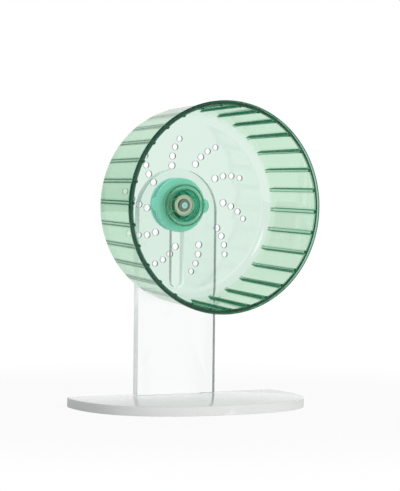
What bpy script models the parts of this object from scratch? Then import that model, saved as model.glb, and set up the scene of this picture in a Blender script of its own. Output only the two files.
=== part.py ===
# Hamster exercise wheel on a slotted acrylic stand.
#
# The frame: metres, +Z up, the origin on the underside of the base, in the middle of its width
# and depth. The open side of the wheel faces -Y. The wheel turns about a line along Y.
# Round pieces are drawn along their own Z, which an empty lays along world Y: there Z counts
# from the plane of the open rim towards the back.

import math

import bmesh
import bpy
from mathutils import Matrix, Vector

# Gaps
seat_gap = 0.0003  # between faces that touch on the real thing
journal_gap = 0.0002  # radial, steel pin in the bearing's bore
cage_gap = 0.00016  # round each ball in its pocket
race_gap = 0.00026  # between a ball and its grooves
overrun = 0.004  # how far a cutter passes the face that it cuts
weld = 0.000001  # points this close are one point

# Base plate
base_width = 0.2403
base_depth = 0.1354
base_thickness = 0.0095
base_corner_depth = 0.0315  # the back corners are rounded over this much of each end
base_corner_width = 0.0075
base_bow = 2.44  # exponent of the front edge's curve: 2 is an ellipse
base_edge = 0.0006
mortise_floor = 0.0022

# Upright plate
upright_width = 0.088
upright_thickness = 0.010
upright_setback = 0.0052  # from the base's back edge
upright_crown = 0.0367  # the top over the axle
upright_edge = 0.0005
tenon_width = 0.060
axle_height = 0.2024
slot_width = 0.0137
slot_end = 0.0842  # the lower end of the slot under the axle at rest

# Wheel
rim_radius = 0.105
rim_bead = 0.004  # radial width
rim_bead_depth = 0.0042
rim_round = 0.0011
wall = 0.0019
wall_front_radius = 0.1036
wall_rear_radius = 0.09925  # where the corner starts: the tub narrows for its mould
drum_depth = 0.091
corner_radius = 0.015
back_wall = 0.0019
wheel_standoff = 0.0153  # from the back wall to the upright's front face

rib_count = 30
rib_width = 0.0029
rib_front_radius = 0.0992  # to the rib's inner edge, at the open rim
rib_rear_radius = 0.0949  # the same at the rib's rear end
rib_start = 0.0006
rib_shortfall = 0.0065  # from the ribs' rear ends to the back wall's outer face
rib_tip = 0.003  # length of the rounded rear end
rib_round = 0.0009
rib_phase = -2.5  # degrees

arm_count = 10
arm_angles = (111.2, 106.8, 101.7, 96.2)  # degrees, from the innermost hole outwards
hole_radius_shares = (0.4086, 0.4933, 0.5712, 0.6419)  # places, of rim_radius
hole_radius = 0.0035
hole_size_shares = (1.0, 0.94, 0.88, 0.82)  # of hole_radius

hub_radius = 0.0213
hub_wall = 0.0015
hub_socket_radius = 0.0152
hub_web = 0.0016
hub_rib_count = 6
hub_rib_width = 0.0013
hub_lip = 0.0007  # how far each hub rib reaches over the bearing's front
hub_lip_thickness = 0.0012
hub_running_gap = 0.0016  # to the flange

# Bearing, a standard 8 x 22 x 7 mm one
bearing_bore_radius = 0.004
bearing_radius = 0.011
bearing_width = 0.007
bearing_inset = 0.0012  # behind the back wall's outer face
ball_count = 7
ball_radius = 0.001985
pitch_radius = 0.0075
inner_land_radius = 0.0062
outer_land_radius = 0.0087
shield_seat_radius = 0.0095
shield_thickness = 0.0003
shield_inset = 0.0004
cage_radii = (0.0066, 0.0083)
cage_back = 0.0026  # from the middle of the balls to the closed side
cage_front = 0.0007

# Axle and its retaining ring
ring_radius = 0.0062
ring_thickness = 0.0008
axle_proud = 0.0003
axle_chamfer = 0.0005
collar_radius = 0.0057
collar_length = 0.0009
head_flats = 0.013
head_height = 0.0025
tail_radius = 0.0039

# Front flange
flange_radius = 0.0275
flange_thickness = 0.0049
flange_edge = 0.0008
ear_radius = 0.0075
ear_place = 0.0252  # from the axle to the middle of each ear
ear_tilt = -2.3  # degrees: the right ear sits a little lower than the left one
ear_thickness = 0.0028
ear_step = 0.0001  # from the flange's front face back to the ears'
boss_radius = 0.010
tongue_height = 0.022
tongue_shortfall = 0.0014  # the tongue ends this far inside the upright's rear face

# Clamp washer, knob and threaded insert
washer_radius = 0.015
washer_thickness = 0.0015
knob_radius = 0.0268
knob_flange = 0.0035
knob_lift = 0.0006  # the knob's flange stays this far off the upright
knob_edge = 0.001
grip_radius = 0.0182
grip_lobe = 0.0011
grip_lobes = 8
grip_height = 0.013
grip_edge = 0.0015
insert_flats = 0.013
insert_height = 0.009
tail_room = 0.0008  # from the end of the tail to the end of its bore
knob_end_wall = 0.002

# Fineness
drum_steps = 90
hub_steps = 40
small_steps = 28
hole_steps = 10
corner_steps = 4
groove_steps = 4
outline_steps = 20
lobe_steps = 6
ball_steps = (10, 6)
smooth_angle = math.radians(32)
flat_angle = math.radians(0.1)

# Places along the axle, from the plane of the open rim
rib_end = drum_depth - rib_shortfall
upright_front = drum_depth + wheel_standoff
upright_rear = upright_front + upright_thickness
flange_rear = upright_front - seat_gap
flange_front = flange_rear - flange_thickness
hub_rear = flange_front - hub_running_gap
bearing_front = drum_depth + bearing_inset
bearing_rear = bearing_front + bearing_width
bearing_middle = bearing_front + bearing_width / 2
ring_front = bearing_front - seat_gap - ring_thickness
axle_front = ring_front - axle_proud
collar_front = bearing_rear + seat_gap
head_front = collar_front + collar_length
head_rear = head_front + head_height
boss_front = head_front + seat_gap
tongue_rear = upright_rear - tongue_shortfall
washer_front = upright_rear + seat_gap
knob_front = upright_rear + knob_lift
recess_floor = washer_front + washer_thickness + seat_gap
insert_front = recess_floor + seat_gap
insert_rear = insert_front + insert_height
grip_front = knob_front + knob_flange
knob_rear = grip_front + grip_height
tail_end = knob_rear - knob_end_wall - tail_room

# Places and sizes in the world
base_top = base_thickness
upright_rear_world = base_depth / 2 - upright_setback
rim_plane = upright_rear_world - upright_rear
arch_height = axle_height + upright_crown - upright_width / 2
tongue_width = slot_width - 2 * seat_gap
tongue_reach = (tongue_height - tongue_width) / 2
slot_top_centre = axle_height + tongue_reach
slot_bottom_centre = axle_height - slot_end + slot_width / 2
tenon_foot = mortise_floor + seat_gap


def clear_scene():
    for obj in list(bpy.data.objects):
        bpy.data.objects.remove(obj)


def new_collection(name):
    group = bpy.data.collections.new(name)
    bpy.context.scene.collection.children.link(group)
    return group


def material(name, colour, roughness, metallic=0.0, transmission=0.0):
    made = bpy.data.materials.new(name)
    made.use_nodes = True
    shader = made.node_tree.nodes["Principled BSDF"]
    shader.inputs["Base Color"].default_value = (*colour, 1.0)
    shader.inputs["Roughness"].default_value = roughness
    shader.inputs["Metallic"].default_value = metallic
    shader.inputs["Transmission Weight"].default_value = transmission
    return made


def new_object(name, mesh, parent=None, group=None):
    obj = bpy.data.objects.new(name, mesh)
    (group or parts).objects.link(obj)
    obj.parent = parent
    return obj


def as_tool(obj):
    """A cutter, or a shape that is joined on: it stays in the file as a wire guide."""
    obj.hide_render = True
    obj.display_type = "WIRE"
    return obj


def loop_area(points):
    ring = zip(points, points[1:] + points[:1])
    return sum(a[0] * b[1] - b[0] * a[1] for a, b in ring) / 2


def turned(name, profile, steps, parent, group=None, closed=True):
    """A profile of (radius, along) points turned about Z. An open profile ends on the axis."""
    points = list(profile)
    if loop_area(points) > 0:
        points.reverse()
    mesh = bpy.data.meshes.new(name)
    edges = [(i, i + 1) for i in range(len(points) - 1)]
    if closed:
        edges.append((len(points) - 1, 0))
    mesh.from_pydata([(r, 0, z) for r, z in points], edges, [])
    obj = new_object(name, mesh, parent, group)
    screw = obj.modifiers.new("Turn", "SCREW")
    screw.steps = screw.render_steps = steps
    screw.use_merge_vertices = True
    screw.merge_threshold = weld
    return obj


def outline_solid(name, loops, low, high, parent=None, group=None):
    """Flat outlines, the first one outermost, as one plate from low to high along Z."""
    curve = bpy.data.curves.new(name, "CURVE")
    curve.dimensions = "2D"
    curve.fill_mode = "BOTH"
    curve.extrude = (high - low) / 2
    for loop in loops:
        spline = curve.splines.new("POLY")
        spline.points.add(len(loop) - 1)
        for point, (x, y) in zip(spline.points, loop):
            point.co = (x, y, 0, 1)
        spline.use_cyclic_u = True
    flat = bpy.data.objects.new(name + "_outline", curve)
    bpy.context.scene.collection.objects.link(flat)
    graph = bpy.context.evaluated_depsgraph_get()
    mesh = bpy.data.meshes.new_from_object(flat.evaluated_get(graph))
    bpy.data.objects.remove(flat)
    plate = bmesh.new()
    plate.from_mesh(mesh)
    bmesh.ops.translate(plate, verts=plate.verts, vec=(0, 0, (low + high) / 2))
    bmesh.ops.remove_doubles(plate, verts=plate.verts, dist=weld)
    bmesh.ops.dissolve_limit(plate, verts=plate.verts, edges=plate.edges, angle_limit=flat_angle)
    bmesh.ops.recalc_face_normals(plate, faces=plate.faces)
    plate.to_mesh(mesh)
    plate.free()
    return new_object(name, mesh, parent, group)


def bevelled(obj, width, segments):
    bevel = obj.modifiers.new("Edges", "BEVEL")
    bevel.width = width
    bevel.segments = segments
    bevel.limit_method = "ANGLE"
    bevel.angle_limit = smooth_angle
    return obj


def boolean(obj, tool, operation):
    step = obj.modifiers.new(operation.title() + " " + tool.name, "BOOLEAN")
    step.operation = operation
    step.solver = "EXACT"
    step.object = tool
    return obj


def settled(obj):
    """Fixes the modifiers into the mesh and marks its sharp edges, so round faces shade smooth."""
    bpy.context.view_layer.update()
    graph = bpy.context.evaluated_depsgraph_get()
    drawn = obj.data
    obj.data = bpy.data.meshes.new_from_object(obj.evaluated_get(graph))
    obj.modifiers.clear()
    bpy.data.meshes.remove(drawn)
    obj.data.name = obj.name
    obj.data.shade_smooth()
    obj.data.set_sharp_from_angle(angle=smooth_angle)
    return obj


def finish(obj, colour):
    settled(obj)
    obj.data.materials.clear()
    obj.data.materials.append(colour)
    return obj


def arc(centre, radius, start, end, steps):
    """Points on a circle, from one angle in degrees to another, both ends included."""
    angles = [math.radians(start + (end - start) * i / steps) for i in range(steps + 1)]
    return [(centre[0] + radius * math.cos(a), centre[1] + radius * math.sin(a)) for a in angles]


def hexagon(flats):
    return arc((0, 0), flats / math.sqrt(3), 0, 300, 5)


def slot_outline(half_width, low, high):
    """A long hole with round ends: low and high are the centres of its two arcs."""
    top = arc((0, high), half_width, 0, 180, hole_steps)
    return top + arc((0, low), half_width, 180, 360, hole_steps)


def round_the_axle(angle):
    """Turns a shape to an angle that is seen from the front, counted from +X upwards."""
    return Matrix.Rotation(-math.radians(angle), 4, "Z")


def copies(name, placed, parent):
    """One tool that holds each (mesh, place) of the list."""
    joined = bmesh.new()
    for mesh, place in placed:
        first = len(joined.verts)
        joined.from_mesh(mesh)
        joined.verts.ensure_lookup_table()
        bmesh.ops.transform(joined, matrix=place, verts=joined.verts[first:])
    mesh = bpy.data.meshes.new(name)
    joined.to_mesh(mesh)
    joined.free()
    return as_tool(new_object(name, mesh, parent, cutters))


def round_bar(radius, length, steps):
    bar = bmesh.new()
    bmesh.ops.create_cone(
        bar, cap_ends=True, segments=steps, radius1=radius, radius2=radius, depth=length
    )
    mesh = bpy.data.meshes.new("round_bar")
    bar.to_mesh(mesh)
    bar.free()
    return mesh


def base_outline():
    """Straight back edge, rounded back corners and a bowed front edge."""
    half = base_width / 2
    join = base_depth / 2 - base_corner_depth
    reach = base_depth - base_corner_depth
    corner = [
        (
            half - base_corner_width * (1 - math.cos(a)),
            join + base_corner_depth * math.sin(a),
        )
        for a in [math.pi / 2 * (1 - i / corner_steps) for i in range(corner_steps)]
    ]
    bow = []
    for i in range(outline_steps + 1):
        a = math.pi / 2 * i / outline_steps
        bow.append(
            (half * math.cos(a) ** (2 / base_bow), join - reach * math.sin(a) ** (2 / base_bow))
        )
    right = corner + bow
    left = [(-x, y) for x, y in reversed(right[:-1])]
    return right + left


def base_plate():
    obj = outline_solid("base_plate", [base_outline()], 0, base_top)
    bevelled(obj, base_edge, 1)
    half = tenon_width / 2 + seat_gap
    front = upright_rear_world - upright_thickness - seat_gap
    back = upright_rear_world + seat_gap
    opening = [(-half, front), (half, front), (half, back), (-half, back)]
    mortise = outline_solid(
        "mortise", [opening], mortise_floor, base_top + overrun, group=cutters
    )
    boolean(obj, as_tool(mortise), "DIFFERENCE")
    return finish(obj, white_acrylic)


def upright_plate():
    half = upright_width / 2
    foot = tenon_width / 2
    shoulder = base_top + seat_gap
    outline = [(-foot, tenon_foot), (foot, tenon_foot), (foot, shoulder), (half, shoulder)]
    outline += arc((0, arch_height), half, 0, 180, 2 * hole_steps)
    outline += [(-half, shoulder), (-foot, shoulder)]
    slot = slot_outline(slot_width / 2, slot_bottom_centre, slot_top_centre)
    obj = outline_solid(
        "upright_plate", [outline, slot], -upright_thickness / 2, upright_thickness / 2
    )
    bevelled(obj, upright_edge, 1)
    obj.rotation_euler.x = math.pi / 2
    obj.location.y = upright_rear_world - upright_thickness / 2
    return finish(obj, clear_acrylic)


def drum_profile():
    corner = (wall_rear_radius - corner_radius, drum_depth - corner_radius)
    bead_inner = rim_radius - rim_bead
    outside = [
        (rim_radius - rim_round, 0),
        (rim_radius, rim_round),
        (rim_radius, rim_bead_depth - rim_round),
        (wall_front_radius, rim_bead_depth),
    ]
    outside += arc(corner, corner_radius, 0, 90, corner_steps)
    inside = [(hub_radius - hub_wall / 2, drum_depth)]
    inside += [(hub_radius - hub_wall / 2, drum_depth - back_wall)]
    inside += arc(
        (corner[0], corner[1] + wall - back_wall), corner_radius - wall, 90, 0, corner_steps
    )
    inside += [
        (wall_front_radius - wall, rim_bead_depth),
        (bead_inner, rim_bead_depth - rim_round),
        (bead_inner, rim_round),
        (bead_inner + rim_round, 0),
    ]
    return outside + inside


def hub_profile():
    front = drum_depth - back_wall
    web = front + hub_web
    return [
        (hub_radius, front),
        (hub_radius, hub_rear),
        (hub_radius - hub_wall, hub_rear),
        (hub_radius - hub_wall, web),
        (hub_socket_radius + hub_wall, web),
        (hub_socket_radius + hub_wall, hub_rear),
        (hub_socket_radius, hub_rear),
        (hub_socket_radius, front),
    ]


def wall_middle(along):
    """Radius of the middle of the running wall, round into the corner."""
    start = drum_depth - corner_radius
    if along > start:
        middle = corner_radius - wall / 2
        return wall_rear_radius - corner_radius + math.sqrt(middle**2 - (along - start) ** 2)
    share = (along - rim_bead_depth) / (start - rim_bead_depth)
    return wall_front_radius + (wall_rear_radius - wall_front_radius) * share - wall / 2


def rib_edge(along):
    """Radius of a rib's inner edge: ribs stand a little higher towards the back."""
    return rib_front_radius + (rib_rear_radius - rib_front_radius) * along / rib_end


def rib_tool():
    tip_start = rib_end - rib_tip
    tip_height = wall_middle(rib_end) - rib_edge(tip_start)
    inner = [(rib_edge(rib_start), rib_start)]
    for i in range(corner_steps):
        a = math.pi / 2 * i / corner_steps
        inner.append(
            (
                rib_edge(tip_start) + tip_height * (1 - math.cos(a)),
                tip_start + rib_tip * math.sin(a),
            )
        )
    places = [rib_end, (rib_end + tip_start) / 2, drum_depth - corner_radius]
    outer = [(wall_middle(along), along) for along in places]
    outer.append((wall_front_radius - wall / 2, rib_start))
    rib = outline_solid(
        "rib_shape", [inner + outer], -rib_width / 2, rib_width / 2, group=cutters
    )
    as_tool(bevelled(rib, rib_round, 1))
    settled(rib)
    stand_up = Matrix.Rotation(math.pi / 2, 4, "X")
    step = 360 / rib_count
    turns = [round_the_axle(rib_phase + step * i) @ stand_up for i in range(rib_count)]
    return copies("running_ribs", [(rib.data, turn) for turn in turns], axle_line)


def hole_tool():
    placed = []
    step = 360 / arm_count
    for angle, place, size in zip(arm_angles, hole_radius_shares, hole_size_shares):
        bar = round_bar(hole_radius * size, 2 * overrun, hole_steps)
        shift = Matrix.Translation((rim_radius * place, 0, drum_depth))
        placed += [(bar, round_the_axle(angle + step * i) @ shift) for i in range(arm_count)]
    return copies("air_holes", placed, axle_line)


def hub_rib_tool():
    """Six ribs grip the bearing, each with a lip over the bearing's front face."""
    seat = bearing_radius + journal_gap
    front = bearing_front - seat_gap - hub_lip_thickness
    lip_rear = bearing_front - seat_gap
    root = hub_socket_radius + hub_wall / 2
    outline = [
        (root, front),
        (seat - hub_lip, front),
        (seat - hub_lip, lip_rear),
        (seat, lip_rear),
        (seat, hub_rear),
        (root, hub_rear),
    ]
    rib = outline_solid(
        "hub_rib_shape", [outline], -hub_rib_width / 2, hub_rib_width / 2, group=cutters
    )
    as_tool(rib)
    stand_up = Matrix.Rotation(math.pi / 2, 4, "X")
    step = 360 / hub_rib_count
    turns = [round_the_axle(90 + step * i) @ stand_up for i in range(hub_rib_count)]
    return copies("hub_ribs", [(rib.data, turn) for turn in turns], axle_line)


def wheel_drum():
    obj = turned("wheel_drum", drum_profile(), drum_steps, axle_line)
    hub = as_tool(turned("hub_shape", hub_profile(), hub_steps, axle_line, cutters))
    boolean(obj, hub, "UNION")
    boolean(obj, hub_rib_tool(), "UNION")
    boolean(obj, rib_tool(), "UNION")
    boolean(obj, hole_tool(), "DIFFERENCE")
    return finish(obj, green_plastic)


def front_flange():
    profile = [
        (tail_radius + seat_gap, flange_rear),
        (flange_radius - flange_edge, flange_rear),
        (flange_radius, flange_rear - flange_edge),
        (flange_radius, flange_front + flange_edge),
        (flange_radius - flange_edge, flange_front),
        (boss_radius, flange_front),
        (boss_radius, boss_front),
        (tail_radius + seat_gap, boss_front),
    ]
    obj = turned("front_flange", profile, hub_steps, axle_line)
    ear = round_bar(ear_radius, ear_thickness, small_steps)
    middle = flange_front + ear_step + ear_thickness / 2
    turn = round_the_axle(ear_tilt)
    sides = [turn @ Matrix.Translation((side * ear_place, 0, middle)) for side in (-1, 1)]
    boolean(obj, copies("flange_ears", [(ear, side) for side in sides], axle_line), "UNION")
    slide = slot_outline(tongue_width / 2, -tongue_reach, tongue_reach)
    front = flange_rear - flange_thickness / 2
    tongue = outline_solid("tongue", [slide], front, tongue_rear, axle_line, cutters)
    boolean(obj, as_tool(tongue), "UNION")
    bore = round_bar(tail_radius + seat_gap, upright_rear, small_steps)
    through = copies("tail_bore", [(bore, Matrix.Translation((0, 0, upright_front)))], axle_line)
    boolean(obj, through, "DIFFERENCE")
    pocket = outline_solid(
        "head_pocket",
        [hexagon(head_flats + 2 * seat_gap)],
        boss_front - overrun,
        head_rear + seat_gap,
        axle_line,
        cutters,
    )
    boolean(obj, as_tool(pocket), "DIFFERENCE")
    return finish(obj, mint_plastic)


def axle():
    journal = bearing_bore_radius - journal_gap
    profile = [
        (0, axle_front),
        (journal - axle_chamfer, axle_front),
        (journal, axle_front + axle_chamfer),
        (journal, collar_front),
        (collar_radius, collar_front),
        (collar_radius, head_front + head_height / 2),
        (tail_radius, head_front + head_height / 2),
        (tail_radius, tail_end - axle_chamfer),
        (tail_radius - axle_chamfer, tail_end),
        (0, tail_end),
    ]
    obj = turned("axle", profile, small_steps, axle_line, closed=False)
    head = outline_solid(
        "axle_head", [hexagon(head_flats)], head_front, head_rear, axle_line, cutters
    )
    boolean(obj, as_tool(head), "UNION")
    return finish(obj, bright_steel)


def plain_ring(name, inner, outer, front, rear, steps, look):
    profile = [(inner, front), (outer, front), (outer, rear), (inner, rear)]
    return finish(turned(name, profile, steps, axle_line), look)


def groove(centre_radius, land, outwards):
    """The groove that the balls run in, as points from front to rear along one ring."""
    radius = ball_radius + race_gap
    depth = abs(land - centre_radius)
    reach = math.degrees(math.acos(depth / radius))
    middle = 0 if outwards else 180
    side = -1 if outwards else 1
    start, end = middle + side * reach, middle - side * reach
    return arc((centre_radius, bearing_middle), radius, start, end, groove_steps)


def bearing_inner_ring():
    profile = [
        (bearing_bore_radius, bearing_front),
        (inner_land_radius, bearing_front),
        *groove(pitch_radius, inner_land_radius, outwards=False),
        (inner_land_radius, bearing_rear),
        (bearing_bore_radius, bearing_rear),
    ]
    return finish(turned("bearing_inner_ring", profile, small_steps, axle_line), bright_steel)


def bearing_outer_ring():
    lip = shield_inset + shield_thickness + seat_gap
    profile = [
        (bearing_radius, bearing_front),
        (shield_seat_radius, bearing_front),
        (shield_seat_radius, bearing_front + lip),
        (outer_land_radius, bearing_front + lip),
        *groove(pitch_radius, outer_land_radius, outwards=True),
        (outer_land_radius, bearing_rear - lip),
        (shield_seat_radius, bearing_rear - lip),
        (shield_seat_radius, bearing_rear),
        (bearing_radius, bearing_rear),
    ]
    return finish(turned("bearing_outer_ring", profile, small_steps, axle_line), bright_steel)


def bearing_shields():
    inner = inner_land_radius + seat_gap
    outer = shield_seat_radius - journal_gap
    front = bearing_front + shield_inset
    rear = bearing_rear - shield_inset
    for name, low in (
        ("bearing_shield_front", front),
        ("bearing_shield_rear", rear - shield_thickness),
    ):
        plain_ring(name, inner, outer, low, low + shield_thickness, small_steps, dull_steel)


def bearing_cage_and_balls():
    inner, outer = cage_radii
    low = bearing_middle - cage_front
    high = bearing_middle + cage_back
    profile = [(inner, low), (outer, low), (outer, high), (inner, high)]
    cage = turned("bearing_cage", profile, 3 * ball_count, ball_train)
    ball = bmesh.new()
    bmesh.ops.create_uvsphere(
        ball, u_segments=ball_steps[0], v_segments=ball_steps[1], radius=ball_radius
    )
    ball_mesh = bpy.data.meshes.new("bearing_ball")
    ball.to_mesh(ball_mesh)
    ball.free()
    ball_mesh.shade_smooth()
    ball_mesh.materials.append(bright_steel)
    pocket = bmesh.new()
    bmesh.ops.create_uvsphere(
        pocket, u_segments=ball_steps[0], v_segments=ball_steps[1], radius=ball_radius + cage_gap
    )
    pocket_mesh = bpy.data.meshes.new("ball_pocket")
    pocket.to_mesh(pocket_mesh)
    pocket.free()
    places = []
    for i in range(ball_count):
        a = 2 * math.pi * i / ball_count
        place = Vector((pitch_radius * math.cos(a), pitch_radius * math.sin(a), bearing_middle))
        places.append(Matrix.Translation(place))
        obj = new_object(f"bearing_ball_{i + 1}", ball_mesh, ball_train)
        obj.location = place
    pockets = copies("ball_pockets", [(pocket_mesh, place) for place in places], ball_train)
    boolean(cage, pockets, "DIFFERENCE")
    finish(cage, cage_plastic)


def clamp_knob():
    mouth = washer_radius + seat_gap
    bore = tail_radius + seat_gap
    profile = [
        (0, knob_rear - knob_end_wall),
        (bore, knob_rear - knob_end_wall),
        (bore, recess_floor),
        (mouth, recess_floor),
        (mouth, knob_front),
        (knob_radius - knob_edge, knob_front),
        (knob_radius, knob_front + knob_edge),
        (knob_radius, grip_front - knob_edge),
        (knob_radius - knob_edge, grip_front),
        (grip_radius - 2 * grip_lobe, grip_front),
        (grip_radius - 2 * grip_lobe, knob_rear - knob_end_wall / 2),
        (0, knob_rear - knob_end_wall / 2),
    ]
    obj = turned("clamp_knob", profile, hub_steps, knob_line, closed=False)
    lobes = []
    count = grip_lobes * lobe_steps
    for i in range(count):
        a = 2 * math.pi * i / count
        radius = grip_radius + grip_lobe * math.cos(grip_lobes * a)
        lobes.append((radius * math.cos(a), radius * math.sin(a)))
    hollow = arc((0, 0), grip_radius - 3 * grip_lobe, 0, 360, hub_steps)[:-1]
    low = grip_front - knob_flange / 2
    grip = outline_solid("grip_shape", [lobes], low, knob_rear, knob_line, cutters)
    core = outline_solid(
        "grip_core", [hollow], low - overrun, knob_rear - knob_end_wall * 3 / 4, knob_line, cutters
    )
    bevelled(grip, grip_edge, 1)
    boolean(grip, as_tool(core), "DIFFERENCE")
    boolean(obj, as_tool(grip), "UNION")
    pocket = outline_solid(
        "insert_pocket",
        [hexagon(insert_flats + 2 * seat_gap)],
        recess_floor - overrun,
        insert_rear + seat_gap,
        knob_line,
        cutters,
    )
    boolean(obj, as_tool(pocket), "DIFFERENCE")
    return finish(obj, mint_plastic)


def knob_insert():
    bore = arc((0, 0), tail_radius + seat_gap, 0, 360, small_steps)[:-1]
    obj = outline_solid(
        "knob_insert", [hexagon(insert_flats), bore], insert_front, insert_rear, knob_line
    )
    return finish(obj, brass)


def guide(name, parent=None):
    line = bpy.data.objects.new(name, None)
    parts.objects.link(line)
    line.parent = parent
    return line


clear_scene()
parts = new_collection("hamster_exercise_wheel")
cutters = new_collection("cutters")

white_acrylic = material("white_acrylic", (0.82, 0.82, 0.82), 0.15)
clear_acrylic = material("clear_acrylic", (0.95, 0.98, 0.97), 0.05, transmission=1.0)
green_plastic = material("green_plastic", (0.45, 0.78, 0.62), 0.08, transmission=0.8)
mint_plastic = material("mint_plastic", (0.18, 0.56, 0.42), 0.3)
bright_steel = material("bright_steel", (0.62, 0.62, 0.6), 0.25, metallic=1.0)
dull_steel = material("dull_steel", (0.5, 0.48, 0.42), 0.4, metallic=1.0)
dark_steel = material("dark_steel", (0.1, 0.1, 0.1), 0.35, metallic=1.0)
cage_plastic = material("cage_plastic", (0.1, 0.09, 0.08), 0.5)
brass = material("brass", (0.7, 0.52, 0.2), 0.3, metallic=1.0)

axle_line = guide("axle_line")
axle_line.location = (0, rim_plane, axle_height)
axle_line.rotation_euler.x = -math.pi / 2
ball_train = guide("ball_train", axle_line)
knob_line = guide("knob_line", axle_line)
bpy.context.view_layer.update()

base_plate()
upright_plate()
wheel_drum()
front_flange()
axle()
plain_ring(
    "retaining_ring",
    bearing_bore_radius,
    ring_radius,
    ring_front,
    ring_front + ring_thickness,
    small_steps,
    dark_steel,
)
bearing_inner_ring()
bearing_outer_ring()
bearing_shields()
bearing_cage_and_balls()
plain_ring(
    "clamp_washer",
    tail_radius + seat_gap,
    washer_radius,
    washer_front,
    washer_front + washer_thickness,
    small_steps,
    bright_steel,
)
clamp_knob()
knob_insert()
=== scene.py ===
import math

import bmesh
import bpy
from mathutils import Matrix, Vector


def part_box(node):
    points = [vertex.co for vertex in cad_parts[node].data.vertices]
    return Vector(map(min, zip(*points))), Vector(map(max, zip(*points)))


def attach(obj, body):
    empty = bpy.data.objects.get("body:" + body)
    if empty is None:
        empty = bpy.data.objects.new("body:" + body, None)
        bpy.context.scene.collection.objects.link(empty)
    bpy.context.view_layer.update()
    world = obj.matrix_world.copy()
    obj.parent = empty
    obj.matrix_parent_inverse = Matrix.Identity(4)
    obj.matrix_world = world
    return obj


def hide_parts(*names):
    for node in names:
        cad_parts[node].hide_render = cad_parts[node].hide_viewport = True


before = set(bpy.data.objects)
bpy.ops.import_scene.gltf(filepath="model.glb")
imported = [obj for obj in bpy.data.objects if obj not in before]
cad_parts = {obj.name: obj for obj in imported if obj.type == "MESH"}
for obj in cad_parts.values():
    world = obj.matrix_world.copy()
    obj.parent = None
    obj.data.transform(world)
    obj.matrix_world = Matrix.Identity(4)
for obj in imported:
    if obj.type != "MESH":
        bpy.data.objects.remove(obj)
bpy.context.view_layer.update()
print("frame loaded,", len(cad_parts), "nodes")

# The wheel turns about a line along Y. Round pieces are drawn round Z, where z counts from the
# plane of the open rim to the back, and onAxle() lays them on that line.
axleLine = {"rimPlane": -0.0538, "height": 0.2024}
mm = 0.001
crease = math.radians(32)  # edges that turn by more are rounded, or stay sharp in the shading
weld = {"turned": 1e-7, "flat": 1e-6}  # points nearer than this become one
straight = 0.002  # radians by which an outline may bend and still be straight


# Meshes

def arcPoints(centre, radius, start, end, steps):
    angles = [math.radians(start + (end - start) * i / steps) for i in range(steps + 1)]
    return [(centre[0] + radius * math.cos(a), centre[1] + radius * math.sin(a)) for a in angles]


def longHole(half, low, high, steps):
    return arcPoints((0, high), half, 0, 180, steps) + arcPoints((0, low), half, 180, 360, steps)


def rounded(corners, steps, closed=True):
    # corners are (x, y, radius); a corner with a radius becomes an arc of that many steps
    points = []
    last = len(corners) - 1
    for i, (x, y, radius) in enumerate(corners):
        if radius == 0 or (not closed and i in (0, last)):
            points.append((x, y))
            continue
        here = Vector((x, y))
        before = (Vector(corners[i - 1][:2]) - here).normalized()
        after = (Vector(corners[(i + 1) % len(corners)][:2]) - here).normalized()
        half = before.angle(after) / 2
        reach = radius / math.tan(half)
        centre = here + (before + after).normalized() * radius / math.sin(half)
        first = here + before * reach - centre
        sweep = first.angle_signed(here + after * reach - centre)
        start = math.atan2(first.y, first.x)
        for k in range(steps + 1):
            a = start - sweep * k / steps
            points.append((centre.x + radius * math.cos(a), centre.y + radius * math.sin(a)))
    return points


def onAxle(shape):
    for v in shape.verts:
        v.co = (v.co.x, axleLine["rimPlane"] + v.co.z, axleLine["height"] + v.co.y)
    shape.normal_update()
    bmesh.ops.recalc_face_normals(shape, faces=shape.faces)
    return shape


def asMesh(shape):
    mesh = bpy.data.meshes.new("shape")
    shape.to_mesh(mesh)
    shape.free()
    return mesh


def joinRings(shape, rings, closed=True, around=True):
    # faces between each ring of vertices and the next one, and from the last one to the first
    count = len(rings[0])
    for here, there in zip(rings, rings[1:] + rings[:1] * around):
        for k in range(count if closed else count - 1):
            n = (k + 1) % count
            shape.faces.new((here[k], here[n], there[n], there[k]))


def turned(profile, steps, closed=True):
    # a profile of (radius, along) turned round the axle line; an open one ends on the axis
    shape = bmesh.new()
    rings = []
    for i in range(steps):
        t = 2 * math.pi * i / steps
        rings.append([shape.verts.new((r * math.cos(t), r * math.sin(t), a)) for r, a in profile])
    joinRings(shape, rings, closed)
    bmesh.ops.remove_doubles(shape, verts=shape.verts, dist=weld["turned"])
    return asMesh(onAxle(shape))


def lathe(corners, fineness, steps, closed=True):
    # a profile with rounded corners, each an arc of so many steps, turned round the axle line
    return turned(rounded(corners, fineness, closed), steps, closed)


def tube(inner, outer, front, rear, edge, fineness, steps):
    # a ring with a square section and rounded edges
    return lathe([(inner, front, edge), (outer, front, edge), (outer, rear, edge),
                  (inner, rear, edge)], fineness, steps)


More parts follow.
